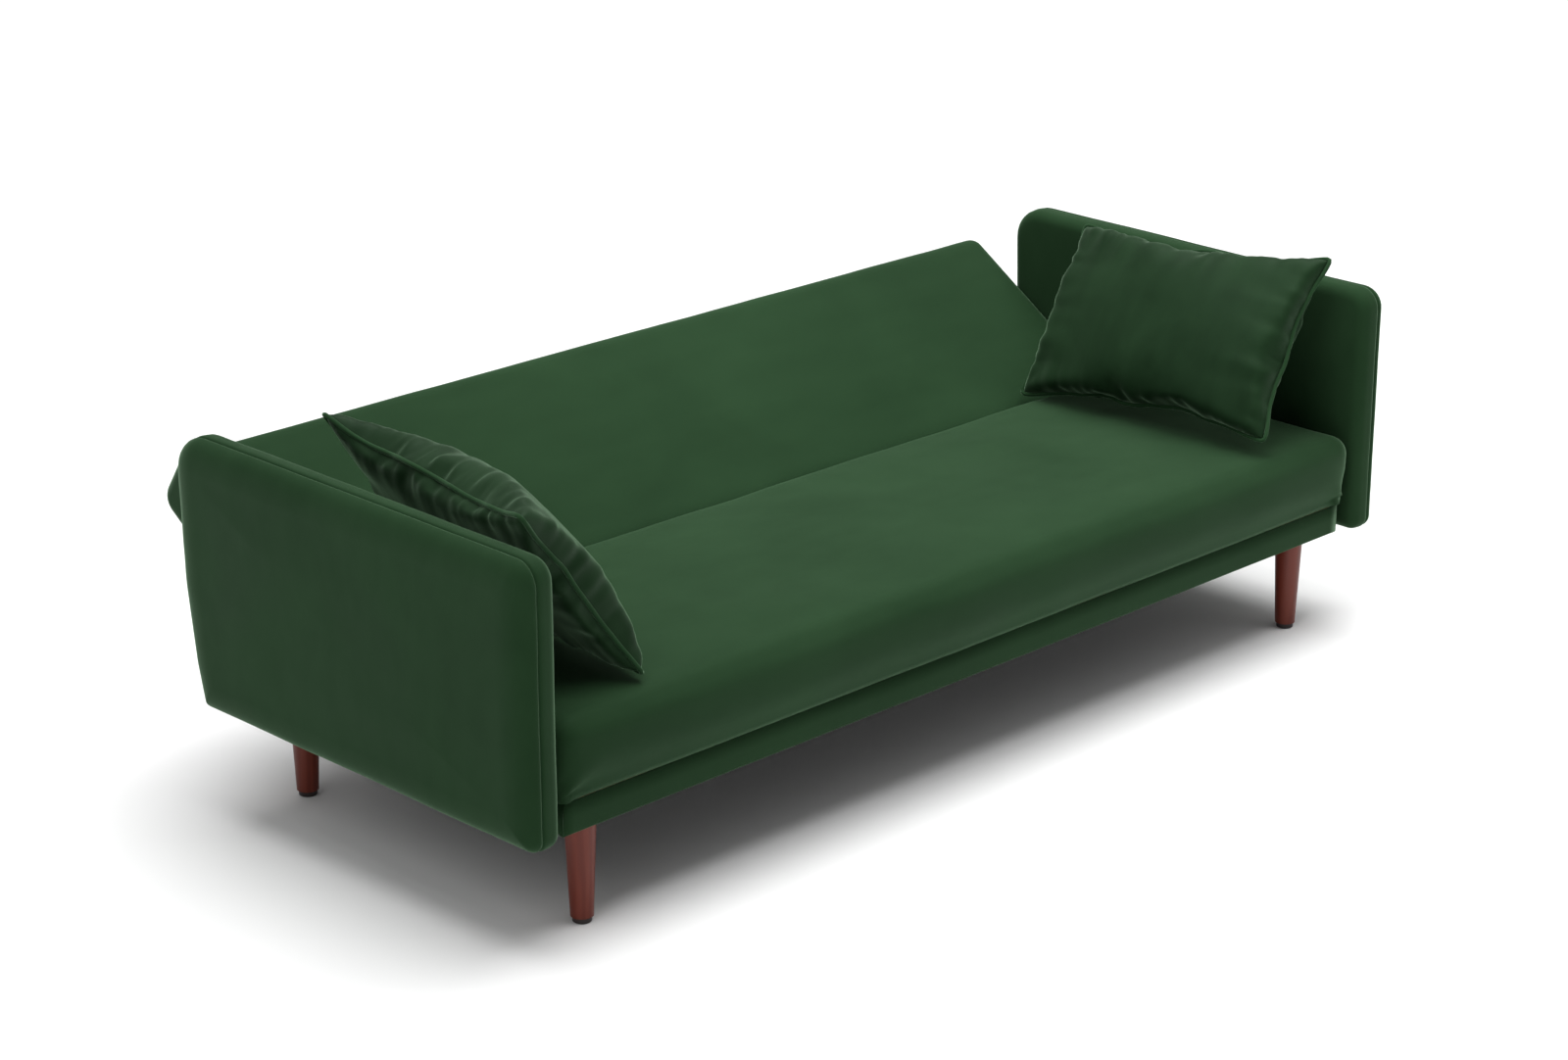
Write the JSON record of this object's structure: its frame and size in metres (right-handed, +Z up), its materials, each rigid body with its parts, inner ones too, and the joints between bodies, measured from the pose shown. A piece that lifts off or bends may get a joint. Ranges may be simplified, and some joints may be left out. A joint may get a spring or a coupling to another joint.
{
  "type": "sofa bed",
  "caption": "Velvet click-clack sofa bed with fixed panel arms, a hinged backrest that folds flat, loose oblong pillows and tapered round wooden legs.",
  "frame": {"origin": "on the floor under the middle of the sofa, halfway along its length and halfway between the front and back of its footprint with the backrest in its lounge position", "axes": "+X along the length towards the right-hand arm as seen from the front, +Y towards the backrest, +Z up"},
  "size_m": [2.12, 0.9968, 0.7012],
  "materials": {
    "velvet": "cut-pile velvet with a directional nap",
    "leg_wood": "stained, satin lacquer",
    "frame_wood": "unfinished softwood and plywood",
    "foam": "open-cell upholstery foam",
    "fibre_fill": "polyester fibre filling",
    "lining": "non-woven black lining",
    "webbing": "elastic webbing",
    "glide_plastic": "moulded, matt",
    "spacer_plastic": "moulded, matt",
    "zinc_steel": "zinc plated",
    "spring_steel": "drawn wire",
    "black_steel": "black powder coat"
  },
  "bodies": {
    "base": {"arm_bolts": "zinc_steel", "arm_spacers": "spacer_plastic", "corner_blocks": "frame_wood", "cross_rail": "frame_wood", "dust_cloth": "lining", "foot_glides": "glide_plastic", "front_left_leg": "leg_wood", "front_rail": "frame_wood", "front_rail_cover": "velvet", "front_right_leg": "leg_wood", "hinge_plate_screws": "zinc_steel", "left_arm_core": "frame_wood", "left_arm_outer_pad": "velvet", "left_arm_wrap": "velvet", "left_seat_hinge_plate": "black_steel", "leg_plate_screws": "zinc_steel", "leg_plates": "zinc_steel", "leg_studs": "zinc_steel", "pivot_pins": "zinc_steel", "rear_left_leg": "leg_wood", "rear_rail": "frame_wood", "rear_rail_cover": "velvet", "rear_right_leg": "leg_wood", "right_arm_core": "frame_wood", "right_arm_outer_pad": "velvet", "right_arm_wrap": "velvet", "right_seat_hinge_plate": "black_steel", "seat_cover": "velvet", "seat_edge_foam": "foam", "seat_foam": "foam", "seat_frame_centre": "frame_wood", "seat_frame_front": "frame_wood", "seat_frame_rear": "frame_wood", "seat_frame_screws": "zinc_steel", "seat_frame_sides": "frame_wood", "seat_springs": "spring_steel", "side_rail_covers": "velvet", "side_rails": "frame_wood", "spring_clips": "zinc_steel"},
    "backrest": {"back_frame_bottom": "frame_wood", "back_frame_top": "frame_wood", "back_frame_stiles": "frame_wood", "back_straps": "webbing", "back_foam": "foam", "back_edge_foam": "foam", "back_cover": "velvet", "back_rear_cloth": "lining", "left_hinge_arm": "black_steel", "right_hinge_arm": "black_steel", "hinge_arm_screws": "zinc_steel"},
    "left_pawl_body": {"left_pawl": "black_steel"},
    "right_pawl_body": {"right_pawl": "black_steel"},
    "left_pillow": {"left_pillow_insert": "fibre_fill", "left_pillow_cover": "velvet", "left_pillow_piping": "velvet"},
    "right_pillow": {"right_pillow_insert": "fibre_fill", "right_pillow_cover": "velvet", "right_pillow_piping": "velvet"}
  },
  "joints": [
    {"name": "recline", "type": "hinge", "parent": "base", "child": "backrest", "pos_m": [0, 0.15162, 0.308], "axis": [1, 0, 0], "range_deg": [-34.2, 41.8]},
    {"name": "left_pawl_swing", "type": "hinge", "parent": "base", "child": "left_pawl_body", "pos_m": [-0.962, 0.06162, 0.262], "axis": [1, 0, 0], "range_deg": [-4, 4.5]},
    {"name": "right_pawl_swing", "type": "hinge", "parent": "base", "child": "right_pawl_body", "pos_m": [0.962, 0.06162, 0.262], "axis": [1, 0, 0], "range_deg": [-4, 4.5]},
    {"name": "left_pillow_lift", "type": "slide", "parent": "base", "child": "left_pillow", "axis": [0, 0, 1], "range_m": [0, 0.55]},
    {"name": "right_pillow_lift", "type": "slide", "parent": "base", "child": "right_pillow", "axis": [0, 0, 1], "range_m": [0, 0.55]}
  ]
}
